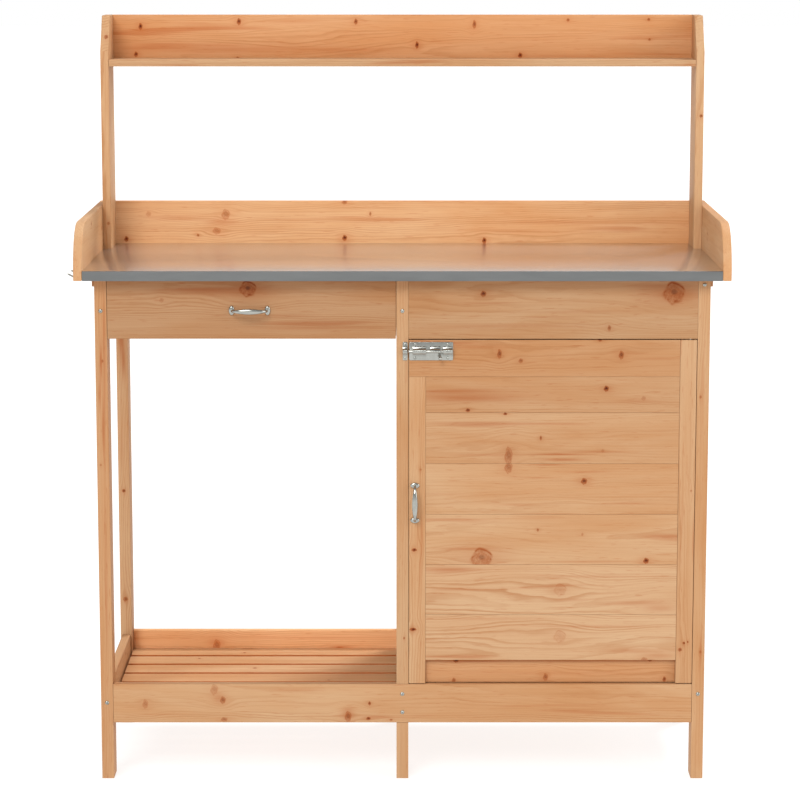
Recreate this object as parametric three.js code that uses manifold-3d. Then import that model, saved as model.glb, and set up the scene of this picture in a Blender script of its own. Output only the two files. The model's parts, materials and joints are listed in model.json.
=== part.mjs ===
// Potting bench: fir frame on six legs, metal-faced worktop with a raised tray edge,
// high rear shelf, drawer over an open slatted bay, and a plank-door cabinet with a barrel bolt.
// Millimetres, +Z up, +Y towards the back, +X to the right as seen from the front.
// The origin is under the middle of the whole bench, on the ground.
import * as THREE from "three";
import { ConvexGeometry } from "three/addons/geometries/ConvexGeometry.js";
import { mergeVertices } from "three/addons/utils/BufferGeometryUtils.js";
import Module from "manifold-3d";

const wasm = await Module();
wasm.setup();

// ---- driving dimensions ----
const GAP = 0.3; // clearance kept between pieces that touch
const EASE = 1; // chamfer on every board edge
const BOARD = 15; // thickness of rails, fascias and tray boards
const THIN = 12; // thickness of slats and the high shelf
const PANEL = 9; // thickness of planks and wall panels
const DEPTH = 454; // front edge of the worktop to the back of the tray
const HEIGHT = 1332; // ground to the top of the high shelf's back board
const TRAY_HALF = 565; // middle of the bench to the outside of a tray side
const HOOK_REACH = 26; // how far the tool hooks stand out of the left tray side
const HOOKS = 3;
const HOOK_START = 122; // front hook, from the worktop edge
const HOOK_PITCH = 50;
const HOOK_TOP = 930; // upper edge of the hook strip
const HOOK_DROP = 49; // strip's upper edge to the bottom of a hook
const HOOK_WIRE = 1.5; // radius
const HOOK_BEAD = 1.8;

const LEG_WIDTH = 21;
const LEG_DEPTH = 45;
const LEG_OUT = 532; // middle of the bench to the outside of a corner leg
const LEG_IN = LEG_OUT - LEG_WIDTH;
const HALF_LEG = LEG_WIDTH / 2;
const FRONT_OVERHANG = 25; // worktop edge to the front of the legs
const BACK_LEG_START = 378; // worktop edge to the front of the back legs
const SIDE_RAIL_INSET = 3; // side rails behind the outside of the legs
const SIDE_WALL_INSET = 6;
const BATTEN_OUT = 541; // middle of the bench to the outside of a worktop batten

const WORKTOP_TOP = 908;
const WORKTOP_THICK = 17;
const SHEET = 1; // metal facing of the worktop
const SHEET_FOLD = 1.2; // corner broken along the folded front edge
const TRAY_RISE = 79; // tray boards above the worktop
const TRAY_CURVE = 72; // length of the rounded front corner of a tray side
const UPRIGHT_DEPTH = 90;
const SHELF_TOP = 1253;
const UPRIGHT_CUT_HEIGHT = 64; // sloped front at the top of an upright
const UPRIGHT_CUT_DEPTH = 40;

const RAIL_BOTTOM = 102; // lower rails
const RAIL_TOP = 172;
const TOP_RAIL_LOW = 826; // back upper rail
const SLAT_TOP = 138;
const SLATS = 6;
const SLAT_SPACE = 8;
const SLAT_CLEARANCE = 3; // front rail to the first slat
const CLEAT = 18;

const DRAWER_LOW = 787.5;
const DRAWER_HIGH = 888.5;
const RUNNER_LOW = 790;
const DRAWER_BOX_HEIGHT = 56;
const DRAWER_BOX_DEPTH = 345;
const DRAWER_BOTTOM = 5;

const DOOR_LOW = 173.5;
const DOOR_HIGH = 785.5;
const DOOR_THICK = 18;
const DOOR_SIDE_GAP = 0.8;
const DOOR_HINGE_GAP = 0.8;
const STILE = 29;
const DOOR_TOP_RAIL = 64.5;
const DOOR_FOOT_RAIL = 62;
const PLANK = 90;
const LAST_PLANK = 82;
const PLANK_LOW = 215.5; // lower edge of the lowest plank
const PLANK_COUNT = 6;
const PALE_PLANKS = 2; // the lowest planks are of paler wood
const PIVOT_INSET = 5; // door pivot behind the front face, so that the stile's corner clears the leg
const PIVOT_SIDE = 12; // door pivot from the right-hand leg
const PIVOT_RADIUS = 2;

const HANDLE_SPAN = 62; // between the feet of a bow handle
const HANDLE_REACH = 23;
const HANDLE_FOOT = 16;
const DRAWER_HANDLE_X = -264;
const DRAWER_HANDLE_Z = 837;
const DOOR_HANDLE_Z = 498;
const DOOR_HANDLE_SHIFT = 4; // door handle from the middle of its stile, towards the leg

const BOLT_Z = 766; // height of the barrel bolt's rod
const BOLT_ROD = 2.8; // radius
const BOLT_LENGTH = 61;
const BOLT_PLATE_LENGTH = 76;
const BOLT_PLATE_HEIGHT = 32;
const BOLT_PLATE = 1.5; // thickness of the bolt's plate and keeper
const BOLT_WALL = 2.2; // thickness of its barrels
const BOLT_PLAY = 0.5; // between rod and barrel
const BOLT_ENTRY = 21; // how far the shot rod enters past the door edge's side of the leg
const BOLT_REST = 21; // how far the rod is drawn back at rest
const KNOB_BACK = 6; // knob from the rod's end
const KNOB_RADIUS = 2.9;
const KNOB_REACH = 14;
const KNOB_STEM = 1.8; // radius
const KNOB_DROP = Math.PI / 3; // how far below level the knob hangs
const KEEPER_WIDTH = 8.6;

// ---- materials ----
const wood = new THREE.MeshStandardMaterial({ color: 0xd49f70, roughness: 0.6, metalness: 0 });
const paleWood = new THREE.MeshStandardMaterial({ color: 0xddae83, roughness: 0.6, metalness: 0 });
const zinc = new THREE.MeshStandardMaterial({ color: 0x7c7d7c, roughness: 0.4, metalness: 0.8 });
const chrome = new THREE.MeshStandardMaterial({ color: 0xc9cbce, roughness: 0.2, metalness: 1 });

const bench = new THREE.Group();
bench.position.x = HOOK_REACH / 2;

// Depth measured back from the worktop's front edge, as a y coordinate.
const deep = (d) => d - DEPTH / 2;
const legFront = deep(FRONT_OVERHANG);
const legBack = legFront + LEG_DEPTH;
const backLegFront = deep(BACK_LEG_START);
const backLegBack = backLegFront + LEG_DEPTH;
const trayBack = deep(DEPTH) - BOARD; // front face of the rear boards
const uprightFront = trayBack - UPRIGHT_DEPTH;
const worktopUnder = WORKTOP_TOP - WORKTOP_THICK;
const uprightOut = TRAY_HALF - BOARD;
const uprightIn = uprightOut - BOARD;

// ---- shape helpers ----
function add(name, geometry, material) {
  const mesh = new THREE.Mesh(geometry, material);
  mesh.name = name;
  bench.add(mesh);
  return mesh;
}

// A board between two corners, with every edge eased.
function board(x0, x1, y0, y1, z0, z1, ease = EASE) {
  const centre = [(x0 + x1) / 2, (y0 + y1) / 2, (z0 + z1) / 2];
  const half = [(x1 - x0) / 2, (y1 - y0) / 2, (z1 - z0) / 2];
  const points = [];
  for (let full = 0; full < 3; full++) {
    for (const sx of [-1, 1]) {
      for (const sy of [-1, 1]) {
        for (const sz of [-1, 1]) {
          const reach = [sx, sy, sz].map((s, axis) => s * (half[axis] - (axis === full ? 0 : ease)));
          points.push(new THREE.Vector3(...reach.map((r, axis) => r + centre[axis])));
        }
      }
    }
  }
  return bare(new ConvexGeometry(points));
}

// Only positions, with shared corners merged.
function bare(geometry) {
  const g = geometry.clone();
  for (const key of Object.keys(g.attributes)) {
    if (key !== "position") g.deleteAttribute(key);
  }
  return mergeVertices(g, 1e-4);
}

// Turns an extrusion so that its shape is drawn in y and z and its depth runs along x from x0.
const across = (x0) => new THREE.Matrix4().set(0, 0, 1, x0, 1, 0, 0, 0, 0, 1, 0, 0, 0, 0, 0, 1);

// A side profile of [y, z] points, extruded across the bench from x0 to x1.
function acrossProfile(points, x0, x1) {
  const shape = new THREE.Shape(points.map(([y, z]) => new THREE.Vector2(y, z)));
  const g = new THREE.ExtrudeGeometry(shape, { depth: x1 - x0, bevelEnabled: false });
  return bare(g.applyMatrix4(across(x0)));
}

function solid(geometry) {
  const g = bare(geometry);
  return new wasm.Manifold(
    new wasm.Mesh({
      numProp: 3,
      vertProperties: new Float32Array(g.attributes.position.array),
      triVerts: new Uint32Array(g.index.array),
    }),
  );
}

function geometryOf(manifold) {
  const mesh = manifold.getMesh();
  const g = new THREE.BufferGeometry();
  g.setAttribute("position", new THREE.BufferAttribute(new Float32Array(mesh.vertProperties), 3));
  g.setIndex(new THREE.BufferAttribute(new Uint32Array(mesh.triVerts), 1));
  return g;
}

const joined = (...parts) => geometryOf(parts.map(solid).reduce((a, b) => a.add(b)));

// A round bar along one axis, centred on a point.
function bar(axis, x, y, z, radius, length, sides = 20) {
  const g = new THREE.CylinderGeometry(radius, radius, length, sides);
  if (axis === "x") g.rotateZ(Math.PI / 2);
  if (axis === "z") g.rotateX(Math.PI / 2);
  return bare(g.translate(x, y, z));
}

// ---- frame ----
function legs() {
  const top = worktopUnder - GAP;
  for (const [side, x] of [["left", -LEG_OUT], ["right", LEG_IN]]) {
    add(`leg_front_${side}`, board(x, x + LEG_WIDTH, legFront, legBack, 0, top), wood);
    add(`leg_back_${side}`, board(x, x + LEG_WIDTH, backLegFront, backLegBack, 0, top), wood);
  }
  // The middle front leg is halved so that the front rail passes across it.
  const lap = legFront + BOARD + GAP;
  const outline = [
    [legFront, 0],
    [legBack, 0],
    [legBack, top],
    [legFront, top],
    [legFront, RAIL_TOP + GAP],
    [lap, RAIL_TOP + GAP],
    [lap, RAIL_BOTTOM - GAP],
    [legFront, RAIL_BOTTOM - GAP],
  ];
  add("leg_front_middle", acrossProfile(outline, -HALF_LEG, HALF_LEG), wood);
  const backLap = backLegBack - BOARD - GAP;
  const backOutline = [
    [backLegFront, 0],
    [backLegBack, 0],
    [backLegBack, RAIL_BOTTOM - GAP],
    [backLap, RAIL_BOTTOM - GAP],
    [backLap, RAIL_TOP + GAP],
    [backLegBack, RAIL_TOP + GAP],
    [backLegBack, TOP_RAIL_LOW - GAP],
    [backLap, TOP_RAIL_LOW - GAP],
    [backLap, top],
    [backLegFront, top],
  ];
  add("leg_back_middle", acrossProfile(backOutline, -HALF_LEG, HALF_LEG), wood);
}

function rails() {
  const x = LEG_IN - GAP;
  const y = backLegBack - BOARD;
  add("rail_front_lower", board(-x, x, legFront, legFront + BOARD, RAIL_BOTTOM, RAIL_TOP), wood);
  add("rail_back_lower", board(-x, x, y, backLegBack, RAIL_BOTTOM, RAIL_TOP), wood);
  add("rail_back_upper", board(-x, x, y, backLegBack, TOP_RAIL_LOW, worktopUnder - GAP), wood);
  const y0 = legBack + GAP;
  const y1 = backLegFront - GAP;
  const out = LEG_OUT - SIDE_RAIL_INSET;
  add("rail_side_left", board(-out, -out + BOARD, y0, y1, RAIL_BOTTOM, RAIL_TOP), wood);
  add("rail_side_right", board(out - BOARD, out, y0, y1, RAIL_BOTTOM, RAIL_TOP), wood);
  // The middle rail is low and wide: the slats and the cabinet floor both rest on it.
  add("rail_middle", board(-BOARD, BOARD, y0, y1, RAIL_BOTTOM, SLAT_TOP - THIN - GAP), wood);
}

// Battens screwed under the ends of the worktop, between the front and back legs.
function worktopBattens() {
  const y1 = backLegFront - GAP;
  const high = worktopUnder - GAP;
  for (const [side, x] of [["left", -BATTEN_OUT], ["right", BATTEN_OUT - BOARD]]) {
    add(`worktop_batten_${side}`, board(x, x + BOARD, legBack + GAP, y1, high - CLEAT, high), wood);
  }
}

function slats() {
  const y0 = legFront + BOARD + SLAT_CLEARANCE;
  const y1 = backLegBack - BOARD - GAP;
  const pitch = (y1 - y0 + SLAT_SPACE) / SLATS;
  const low = SLAT_TOP - THIN;
  const inner = HALF_LEG + GAP;
  const outer = LEG_IN - GAP;
  for (let i = 0; i < SLATS; i++) {
    const y = y0 + i * pitch;
    add(`shelf_slat_${i + 1}`, board(-outer, -inner, y, y + pitch - SLAT_SPACE, low, SLAT_TOP), wood);
  }
  add("cabinet_floor", board(inner, outer, y0, y1, low, SLAT_TOP), wood);
  const high = low - GAP;
  const outside = LEG_OUT - SIDE_RAIL_INSET - BOARD - GAP;
  for (const [side, x] of [["left", -outside], ["right", outside - CLEAT]]) {
    const cleat = board(x, x + CLEAT, legBack + GAP, backLegFront - GAP, high - CLEAT, high);
    add(`slat_cleat_${side}`, cleat, wood);
  }
}

// ---- worktop and tray ----
function worktop() {
  const half = uprightOut - GAP;
  const back = trayBack - GAP;
  const front = deep(0);
  const boardFront = front + SHEET + GAP;
  const boardTop = WORKTOP_TOP - SHEET - GAP;
  add("worktop_board", board(-half, half, boardFront, back, worktopUnder, boardTop), wood);
  // The metal facing turns down over the front edge, and is notched where the uprights stand.
  const fold = [
    [front, worktopUnder],
    [front + SHEET, worktopUnder],
    [front + SHEET, WORKTOP_TOP - SHEET],
    [back, WORKTOP_TOP - SHEET],
    [back, WORKTOP_TOP],
    [front + SHEET_FOLD, WORKTOP_TOP],
    [front, WORKTOP_TOP - SHEET_FOLD],
  ];
  const above = WORKTOP_TOP + SHEET;
  const notch = (x0, x1) => solid(board(x0, x1, uprightFront - GAP, back + GAP, boardTop, above, 0));
  const sheet = solid(acrossProfile(fold, -half, half))
    .subtract(notch(-uprightOut, -uprightIn + GAP))
    .subtract(notch(uprightIn - GAP, uprightOut));
  add("worktop_sheet", geometryOf(sheet), zinc);
}

// The side of the tray: a long board whose front upper corner is sloped and then rounded.
function traySide(x0) {
  const shape = new THREE.Shape();
  const front = deep(0);
  const low = worktopUnder;
  const high = WORKTOP_TOP + TRAY_RISE;
  shape.moveTo(front, low);
  shape.lineTo(trayBack - GAP, low);
  shape.lineTo(trayBack - GAP, high);
  shape.lineTo(front + TRAY_CURVE, high);
  shape.bezierCurveTo(
    front + TRAY_CURVE / 2,
    high,
    front + TRAY_CURVE / 12,
    high - TRAY_RISE / 3,
    front,
    WORKTOP_TOP + 2,
  );
  shape.closePath();
  const g = new THREE.ExtrudeGeometry(shape, {
    depth: BOARD - 2 * EASE,
    bevelEnabled: true,
    bevelSize: EASE,
    bevelOffset: -EASE,
    bevelThickness: EASE,
    bevelSegments: 1,
    curveSegments: 14,
  });
  return bare(g.applyMatrix4(across(x0 + EASE)));
}

function tray() {
  add("tray_side_left", traySide(-TRAY_HALF), wood);
  add("tray_side_right", traySide(uprightOut), wood);
  const high = WORKTOP_TOP + TRAY_RISE;
  add("tray_back", board(-TRAY_HALF, TRAY_HALF, trayBack, deep(DEPTH), worktopUnder, high), wood);
}

// ---- high shelf ----
function highShelf() {
  const back = trayBack - GAP;
  const foot = WORKTOP_TOP - SHEET;
  const outline = [
    [uprightFront, foot],
    [back, foot],
    [back, HEIGHT],
    [uprightFront + UPRIGHT_CUT_DEPTH, HEIGHT],
    [uprightFront, HEIGHT - UPRIGHT_CUT_HEIGHT],
  ];
  const half = uprightIn;
  const outside = uprightOut - GAP;
  add("upright_left", acrossProfile(outline, -outside, -half), wood);
  add("upright_right", acrossProfile(outline, half, outside), wood);
  const low = SHELF_TOP - THIN;
  add("high_shelf", board(-half + GAP, half - GAP, uprightFront, back, low, SHELF_TOP), wood);
  add("high_shelf_back", board(-uprightOut, uprightOut, trayBack, deep(DEPTH), low, HEIGHT), wood);
}

// ---- drawer ----
function drawer() {
  const x0 = -LEG_IN + DOOR_SIDE_GAP;
  const x1 = -HALF_LEG - DOOR_SIDE_GAP;
  const back = legFront + BOARD;
  add("drawer_front", board(x0, x1, legFront, back, DRAWER_LOW, DRAWER_HIGH), wood);
  const low = RUNNER_LOW + CLEAT + GAP;
  const high = low + DRAWER_BOX_HEIGHT;
  const y0 = back + GAP;
  const y1 = y0 + DRAWER_BOX_DEPTH;
  add("drawer_side_left", board(x0, x0 + THIN, y0, y1, low, high), paleWood);
  add("drawer_side_right", board(x1 - THIN, x1, y0, y1, low, high), paleWood);
  const in0 = x0 + THIN + GAP;
  const in1 = x1 - THIN - GAP;
  add("drawer_back", board(in0, in1, y1 - THIN, y1, low, high), paleWood);
  add("drawer_bottom", board(in0, in1, y0, y1 - THIN - GAP, low, low + DRAWER_BOTTOM), paleWood);
  const runnerEnd = backLegBack - BOARD - GAP;
  for (const [side, x] of [["left", -LEG_IN + GAP], ["right", -HALF_LEG - GAP - CLEAT]]) {
    const runner = board(x, x + CLEAT, back + 1, runnerEnd, RUNNER_LOW, RUNNER_LOW + CLEAT);
    add(`drawer_runner_${side}`, runner, wood);
  }
}

// ---- cabinet ----
function cabinet() {
  const x0 = HALF_LEG + GAP;
  const x1 = LEG_IN - GAP;
  const fasciaBack = legFront + BOARD;
  add("cabinet_fascia", board(x0, x1, legFront, fasciaBack, DRAWER_LOW, DRAWER_HIGH + 2), wood);
  const low = RAIL_TOP + GAP;
  const y0 = legBack + GAP;
  const y1 = backLegFront - GAP;
  const wallHigh = worktopUnder - 2 * GAP - CLEAT - GAP;
  const sideOut = LEG_OUT - SIDE_WALL_INSET;
  add("cabinet_side", board(sideOut - PANEL, sideOut, y0, y1, low, wallHigh), wood);
  add("cabinet_partition", board(-PANEL / 2, PANEL / 2, y0, y1, low, wallHigh), wood);
  const backY = backLegBack - BOARD;
  add("cabinet_back", board(x0, x1, backY, backY + PANEL, low, TOP_RAIL_LOW - GAP), wood);
}

const doorX0 = HALF_LEG + DOOR_SIDE_GAP;
const doorX1 = LEG_IN - DOOR_HINGE_GAP;
const pivotX = LEG_IN - PIVOT_SIDE;
const pivotY = legFront + PIVOT_INSET;

// The hinge stile: a bore along it takes the pivot rod.
function hingeStile(x0) {
  const blank = board(x0, doorX1, legFront, legFront + DOOR_THICK, DOOR_LOW, DOOR_HIGH);
  const bore = bar("z", pivotX, pivotY, (DOOR_LOW + DOOR_HIGH) / 2, PIVOT_RADIUS + GAP, DOOR_HIGH);
  return geometryOf(solid(blank).subtract(solid(bore)));
}

function door() {
  const topRailLow = DOOR_HIGH - DOOR_TOP_RAIL;
  const rightIn = doorX1 - STILE;
  const back = legFront + DOOR_THICK;
  const stile = board(doorX0, doorX0 + STILE, legFront, back, DOOR_LOW, topRailLow - GAP);
  add("door_stile_left", stile, paleWood);
  add("door_stile_right", hingeStile(rightIn), paleWood);
  const railRight = rightIn - GAP;
  add("door_rail_top", board(doorX0, railRight, legFront, back, topRailLow, DOOR_HIGH), wood);
  const in0 = doorX0 + STILE + GAP;
  const footHigh = DOOR_LOW + DOOR_FOOT_RAIL;
  const behind = legFront + PANEL + GAP;
  add("door_rail_foot", board(in0, railRight, behind, back, DOOR_LOW, footHigh), wood);
  // Planks from the top down: the first and last are cut to fit.
  let high = topRailLow - GAP;
  const heights = new Array(PLANK_COUNT).fill(PLANK);
  heights[0] = high - (PLANK_LOW + LAST_PLANK + (PLANK_COUNT - 2) * PLANK);
  heights[PLANK_COUNT - 1] = LAST_PLANK;
  heights.forEach((height, i) => {
    const low = high - height + GAP;
    const plank = board(in0, railRight, legFront, legFront + PANEL, low, high);
    add(`door_plank_${i + 1}`, plank, i < PLANK_COUNT - PALE_PLANKS ? wood : paleWood);
    high -= height;
  });
}

// One steel rod through the hinge stile, held between the fascia and the lower rail.
function doorPivot() {
  const low = RAIL_TOP + GAP;
  const high = DRAWER_LOW - GAP;
  const rod = bar("z", pivotX, pivotY, (low + high) / 2, PIVOT_RADIUS, high - low, 16);
  add("door_pivot_rod", rod, chrome);
}

// ---- hardware ----
// A bow handle along x, standing out towards -y, with its feet on the plane y = 0.
function bowHandle() {
  const half = HANDLE_SPAN / 2;
  const shoulder = half - HANDLE_SPAN / 7;
  const path = new THREE.CatmullRomCurve3(
    [
      [-half, -2],
      [-half + 1, -HANDLE_REACH / 2],
      [-shoulder, -HANDLE_REACH + 5],
      [0, -HANDLE_REACH + 3],
      [shoulder, -HANDLE_REACH + 5],
      [half - 1, -HANDLE_REACH / 2],
      [half, -2],
    ].map(([x, y]) => new THREE.Vector3(x, y, 0)),
  );
  const section = new THREE.Shape();
  section.absellipse(0, 0, 3.2, 2.8, 0, Math.PI * 2);
  const bow = new THREE.ExtrudeGeometry(section, { extrudePath: path, steps: 26, curveSegments: 6 });
  const foot = (x) => board(x - 5, x + 5, -3, -GAP, -HANDLE_FOOT / 2, HANDLE_FOOT / 2, 1.2);
  return joined(bow, foot(-half), foot(half));
}

function handles() {
  add("drawer_handle", bowHandle().translate(DRAWER_HANDLE_X, legFront, DRAWER_HANDLE_Z), chrome);
  const x = doorX0 + STILE / 2 - DOOR_HANDLE_SHIFT;
  add("door_handle", bowHandle().rotateY(Math.PI / 2).translate(x, legFront, DOOR_HANDLE_Z), chrome);
}

const boltFace = legFront - GAP; // what the bolt's plates are screwed to
const boltAxis = boltFace - BOLT_PLATE - BOLT_ROD - 1; // y of the rod's middle
const boltTop = BOLT_Z + BOLT_PLATE_HEIGHT / 2;
const boltLow = BOLT_Z - BOLT_PLATE_HEIGHT / 2;

// A flat plate of the bolt, from x to x + length.
function boltPlate(x, length) {
  return solid(board(x, x + length, boltFace - BOLT_PLATE, boltFace, boltLow, boltTop, 0.4));
}

// A round-fronted barrel that stands on the plate, still to be bored.
function boltBarrel(x, length) {
  const radius = BOLT_ROD + BOLT_PLAY + BOLT_WALL;
  const round = bar("x", x + length / 2, boltAxis, BOLT_Z, radius, length, 24);
  const foot = board(x, x + length, boltAxis, boltFace - 1, BOLT_Z - radius, BOLT_Z + radius, 0.05);
  return solid(round).add(solid(foot));
}

function boltBore(x) {
  return solid(bar("x", x, boltAxis, BOLT_Z, BOLT_ROD + BOLT_PLAY, 2 * BOLT_PLATE_LENGTH, 24));
}

// The bolt's plate and its two barrels, on the door.
function boltGuide() {
  const x = doorX0 + 0.5;
  const nearLength = 23.5;
  const farLength = 18;
  const barrels = boltBarrel(x + 6, nearLength)
    .add(boltBarrel(x + BOLT_PLATE_LENGTH - farLength, farLength))
    .subtract(boltBore(x));
  add("bolt_guide", geometryOf(barrels.add(boltPlate(x, BOLT_PLATE_LENGTH))), chrome);
}

// The sliding rod, with a knob that hangs forward and down.
function boltRod() {
  const tip = HALF_LEG - BOLT_ENTRY + BOLT_REST;
  const rod = bar("x", tip + BOLT_LENGTH / 2, boltAxis, BOLT_Z, BOLT_ROD, BOLT_LENGTH, 20);
  const knobX = tip + BOLT_LENGTH - KNOB_BACK;
  const stem = bar("y", 0, -KNOB_REACH / 2, 0, KNOB_STEM, KNOB_REACH - 1, 12);
  const ball = new THREE.SphereGeometry(KNOB_RADIUS, 14, 10).translate(0, -KNOB_REACH, 0);
  for (const piece of [stem, ball]) {
    piece.rotateX(KNOB_DROP);
    piece.translate(knobX, boltAxis, BOLT_Z);
  }
  add("bolt_rod", joined(rod, stem, ball), chrome);
}

function boltKeeper() {
  const x = 0.4;
  const barrel = boltBarrel(x, KEEPER_WIDTH).subtract(boltBore(x));
  add("bolt_keeper", geometryOf(barrel.add(boltPlate(x, KEEPER_WIDTH))), chrome);
}

// A flat strip screwed to the outside of the left tray side, with upturned hooks on it.
function hookStrip() {
  const face = -TRAY_HALF - GAP;
  const section = new THREE.Shape();
  section.absellipse(0, 0, HOOK_WIRE, HOOK_WIRE, 0, Math.PI * 2);
  const tip = -HOOK_REACH + HOOK_BEAD + GAP;
  const parts = [];
  for (let i = 0; i < HOOKS; i++) {
    const y = deep(HOOK_START + HOOK_PITCH * i);
    const low = HOOK_TOP - HOOK_DROP;
    const path = new THREE.CatmullRomCurve3(
      [
        [-HOOK_WIRE, HOOK_TOP - 12],
        [-HOOK_WIRE, HOOK_TOP - 34],
        [-3.4, low + 2.4],
        [-8, low],
        [tip / 2 - 3, low + 3.2],
        [tip, low + 8],
      ].map(([x, z]) => new THREE.Vector3(face + x, y, z)),
    );
    parts.push(new THREE.ExtrudeGeometry(section, { extrudePath: path, steps: 18, curveSegments: 5 }));
    const bead = new THREE.SphereGeometry(HOOK_BEAD, 10, 8);
    parts.push(bead.translate(face + tip, y, low + 8));
  }
  const y0 = deep(HOOK_START) - 12;
  const y1 = deep(HOOK_START + HOOK_PITCH * (HOOKS - 1)) + 12;
  const strip = board(face - 2.5, face, y0, y1, HOOK_TOP - 18, HOOK_TOP, 0.4);
  add("tool_hooks", joined(strip, ...parts), chrome);
}

legs();
rails();
worktopBattens();
slats();
worktop();
tray();
highShelf();
drawer();
cabinet();
door();
doorPivot();
handles();
boltGuide();
boltRod();
boltKeeper();
hookStrip();

export default bench;
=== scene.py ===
# Potting bench: the looks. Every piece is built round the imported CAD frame, in metres.
import json
import math
import random

import bmesh
import bpy
from mathutils import Matrix, Vector


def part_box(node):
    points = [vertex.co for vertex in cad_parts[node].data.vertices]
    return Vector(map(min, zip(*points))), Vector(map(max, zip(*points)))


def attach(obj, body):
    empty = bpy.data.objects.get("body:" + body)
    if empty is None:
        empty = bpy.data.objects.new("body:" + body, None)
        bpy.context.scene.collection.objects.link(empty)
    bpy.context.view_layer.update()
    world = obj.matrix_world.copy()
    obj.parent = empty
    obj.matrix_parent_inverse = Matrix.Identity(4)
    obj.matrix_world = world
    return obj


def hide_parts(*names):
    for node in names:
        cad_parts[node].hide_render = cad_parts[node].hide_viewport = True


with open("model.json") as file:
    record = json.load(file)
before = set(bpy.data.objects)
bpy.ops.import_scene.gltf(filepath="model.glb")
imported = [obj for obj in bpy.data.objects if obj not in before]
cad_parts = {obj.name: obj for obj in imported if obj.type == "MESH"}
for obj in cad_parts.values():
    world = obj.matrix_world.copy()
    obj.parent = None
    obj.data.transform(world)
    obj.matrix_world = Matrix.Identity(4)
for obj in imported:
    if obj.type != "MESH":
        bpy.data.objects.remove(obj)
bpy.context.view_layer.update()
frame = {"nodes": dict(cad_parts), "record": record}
MM = 0.001
NODES = frame["nodes"]
BODY_OF = {n: b for b, names in frame["record"]["behaviour"]["bodies"].items() for n in names}


def middle(node):
    lo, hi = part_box(node)
    return (lo + hi) / 2


# ---------------------------------------------------------------- camera
CAMERA_BACK = 4.734  # from the worktop's front edge
CAMERA_HIGH = 1.480
CAMERA_DOWN = 0.155  # radians below level
SENSOR = 36  # millimetres
FOCAL_LENGTH = 3.475 * SENSOR
SHIFT_RIGHT = -0.003
SHIFT_UP = -0.04
CAMERA_SEES = 100  # metres, past the floor's far edge


def make_camera():
    data = bpy.data.cameras.new("camera")
    data.sensor_width = SENSOR
    data.lens = FOCAL_LENGTH
    data.shift_x = SHIFT_RIGHT
    data.shift_y = SHIFT_UP
    data.clip_end = CAMERA_SEES
    cam = bpy.data.objects.new("camera", data)
    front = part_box("worktop_sheet")[0].y
    cam.location = (middle("leg_front_middle").x, front - CAMERA_BACK, CAMERA_HIGH)
    cam.rotation_euler = (math.pi / 2 - CAMERA_DOWN, 0, 0)
    bpy.context.scene.collection.objects.link(cam)
    bpy.context.scene.camera = cam


# ---------------------------------------------------------------- light and floor
# Suns, as (name, the way the light goes, width of its source in degrees, strength).
SUNS = [
    ("key", (0.35, 1.0, -0.85), 28, 1.75),
    ("right", (-1.0, 0.45, -0.5), 34, 0.8),
    ("back", (-0.7, -1.0, -1.75), 16, 1.8),
]
WHITE_UP_TO = 0.05  # how high a direction points where the sky begins to dim
DIM_ABOVE = 0.3
DIM = 0.45
FLOOR_REACH = 40
FLOOR_BASE = 0.3
FLOOR_GLOW = 0.8  # so that the floor is as white as the backdrop


def soft_sun(name, towards, angle, strength):
    """Even light from one side; angle, in degrees, is how wide and soft its source is."""
    data = bpy.data.lights.new(name, "SUN")
    data.angle = math.radians(angle)
    data.energy = strength
    data.color = (1, 0.99, 0.975)
    lamp = bpy.data.objects.new(name, data)
    lamp.rotation_euler = Vector(towards).to_track_quat("-Z", "Y").to_euler()
    bpy.context.scene.collection.objects.link(lamp)


def make_world():
    """White all round at eye level, dimmer overhead."""
    world = bpy.data.worlds.new("studio")
    world.use_nodes = True
    nodes, links = world.node_tree.nodes, world.node_tree.links
    parts = nodes.new("ShaderNodeSeparateXYZ")
    links.new(nodes.new("ShaderNodeTexCoord").outputs["Generated"], parts.inputs[0])
    rise = nodes.new("ShaderNodeMapRange")
    rise.inputs["From Min"].default_value = WHITE_UP_TO
    rise.inputs["From Max"].default_value = DIM_ABOVE
    rise.inputs["To Min"].default_value = 1.0
    rise.inputs["To Max"].default_value = DIM
    links.new(parts.outputs["Z"], rise.inputs["Value"])
    background = nodes["Background"]
    links.new(rise.outputs["Result"], background.inputs["Strength"])
    background.inputs["Color"].default_value = (1, 1, 1, 1)
    bpy.context.scene.world = world


def make_floor():
    mesh = bpy.data.meshes.new("floor")
    far = FLOOR_REACH
    mesh.from_pydata([(-far, -far, 0), (far, -far, 0), (far, far, 0), (-far, far, 0)], [], [(0, 1, 2, 3)])
    floor = bpy.data.objects.new("floor", mesh)
    floor.location.z = -0.5 * MM  # just under the feet
    bpy.context.scene.collection.objects.link(floor)
    paint = bpy.data.materials.new("pale_floor")
    paint.use_nodes = True
    shader = paint.node_tree.nodes["Principled BSDF"]
    shader.inputs["Base Color"].default_value = (FLOOR_BASE, FLOOR_BASE, FLOOR_BASE, 1)
    shader.inputs["Roughness"].default_value = 0.9
    shader.inputs["Emission Color"].default_value = (1, 1, 1, 1)
    shader.inputs["Emission Strength"].default_value = FLOOR_GLOW
    mesh.materials.append(paint)


def make_studio():
    make_world()
    bpy.context.scene.view_settings.view_transform = "Standard"
    for sun in SUNS:
        soft_sun(*sun)
    make_floor()


# ---------------------------------------------------------------- node helpers
def linear(hex_colour):
    """A #rrggbb colour as linear RGBA."""
    parts = [int(hex_colour[i : i + 2], 16) / 255 for i in (1, 3, 5)]
    return [c / 12.92 if c <= 0.04045 else ((c + 0.055) / 1.055) ** 2.4 for c in parts] + [1]


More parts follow.
